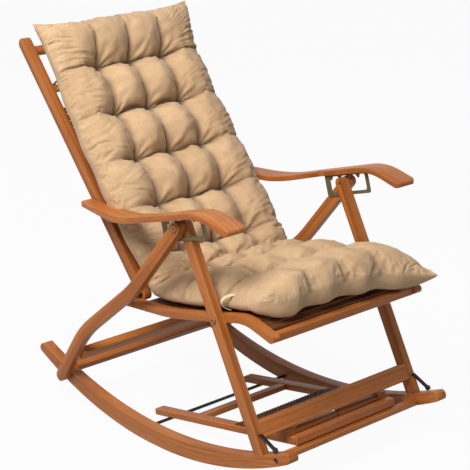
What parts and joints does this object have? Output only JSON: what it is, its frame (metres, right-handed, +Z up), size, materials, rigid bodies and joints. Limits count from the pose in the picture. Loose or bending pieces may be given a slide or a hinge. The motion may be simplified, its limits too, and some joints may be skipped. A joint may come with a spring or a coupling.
{
  "type": "rocking chair",
  "caption": "Folding bamboo rocking chair with reclining back, curved armrests on toothed brackets, tufted pad and pull-out foot massager.",
  "frame": {"origin": "centre of the bounding box at floor level, under the middle of the seat", "axes": "+Z up, -Y the way the sitter faces, +X the sitter's left"},
  "size_m": [0.6198, 1.0073, 0.9618],
  "materials": {
    "bamboo": "satin",
    "dark_bamboo": "satin",
    "bracket_steel": "satin",
    "dark_steel": "satin",
    "pad_fabric": "matte"
  },
  "bodies": {
    "rocker_frame": {"rocker_left": "bamboo", "rocker_right": "bamboo", "nose_bolt_left": "dark_steel", "nose_bolt_right": "dark_steel", "fold_pin_left": "dark_steel", "fold_pin_right": "dark_steel", "fold_washer_left": "dark_steel", "fold_washer_right": "dark_steel", "rear_rocker_rail": "bamboo", "front_rocker_rail": "bamboo", "footrest_rod": "dark_steel"},
    "leg_frame": {"front_leg_left": "bamboo", "front_leg_right": "bamboo", "rear_leg_left": "bamboo", "rear_leg_right": "bamboo", "arm_pin_left": "dark_steel", "arm_pin_right": "dark_steel", "seat_rail_left": "bamboo", "seat_rail_right": "bamboo", "seat_bolt_left": "dark_steel", "seat_bolt_right": "dark_steel", "seat_pivot_pin_left": "dark_steel", "seat_pivot_pin_right": "dark_steel", "seat_spacer_left": "dark_steel", "seat_spacer_right": "dark_steel", "back_pin_left": "dark_steel", "back_pin_right": "dark_steel", "back_spacer_left": "dark_steel", "back_spacer_right": "dark_steel", "stay_hinge_left": "dark_steel", "stay_hinge_right": "dark_steel", "rear_leg_rail": "bamboo", "front_leg_rail": "bamboo", "seat_front_rail": "bamboo", "seat_rear_rail": "bamboo", "seat_mat": "dark_bamboo", "seat_cushion": "pad_fabric"},
    "back_frame": {"back_rail_left": "bamboo", "back_rail_right": "bamboo", "arm_bolt_left": "dark_steel", "arm_bolt_right": "dark_steel", "back_top_rail": "bamboo", "back_middle_rail": "bamboo", "back_mat": "dark_bamboo", "back_cushion": "pad_fabric"},
    "arm_left": {"armrest_left": "bamboo", "arm_bracket_left": "bracket_steel"},
    "arm_right": {"armrest_right": "bamboo", "arm_bracket_right": "bracket_steel"},
    "footrest": {"footrest_bar_left": "bamboo", "footrest_bar_right": "bamboo", "roller_block_left": "bamboo", "roller_block_right": "bamboo", "footrest_rear_bar": "bamboo", "footrest_front_board": "bamboo", "bead_row": "bamboo"},
    "roller": {"massage_roller": "bamboo"},
    "stay_left": {"stay_left": "dark_steel"},
    "stay_right": {"stay_right": "dark_steel"}
  },
  "joints": [
    {"name": "frame_fold", "type": "hinge", "parent": "rocker_frame", "child": "leg_frame", "pos_m": [0, 0.28663, 0.08402], "axis": [-1, 0, 0], "range_deg": [0, 30]},
    {"name": "back_recline", "type": "hinge", "parent": "leg_frame", "child": "back_frame", "pos_m": [0, 0.04563, 0.3469], "axis": [-1, 0, 0], "range_deg": [-10, 18]},
    {"name": "arm_left_pivot", "type": "hinge", "parent": "back_frame", "child": "arm_left", "pos_m": [0, 0.20486, 0.54144], "axis": [-1, 0, 0], "range_deg": [-12.8, 7.2]},
    {"name": "arm_right_pivot", "type": "hinge", "parent": "back_frame", "child": "arm_right", "pos_m": [0, 0.20486, 0.54144], "axis": [-1, 0, 0], "range_deg": [-12.8, 7.2]},
    {"name": "footrest_slide", "type": "slide", "parent": "rocker_frame", "child": "footrest", "axis": [0, -0.9861, 0.1661], "range_m": [0, 0.18]},
    {"name": "roller_spin", "type": "hinge", "parent": "footrest", "child": "roller", "pos_m": [0, -0.38941, 0.10899], "axis": [1, 0, 0], "continuous": true},
    {"name": "stay_left_swing", "type": "hinge", "parent": "leg_frame", "child": "stay_left", "pos_m": [0, -0.40694, 0.14209], "axis": [-1, 0, 0], "range_deg": [0, 50]},
    {"name": "stay_right_swing", "type": "hinge", "parent": "leg_frame", "child": "stay_right", "pos_m": [0, -0.40694, 0.14209], "axis": [-1, 0, 0], "range_deg": [0, 50]}
  ],
  "couplings": [
    {"joint": "arm_left_pivot", "follows": "back_recline", "ratio": -0.7},
    {"joint": "arm_right_pivot", "follows": "back_recline", "ratio": -0.7}
  ]
}
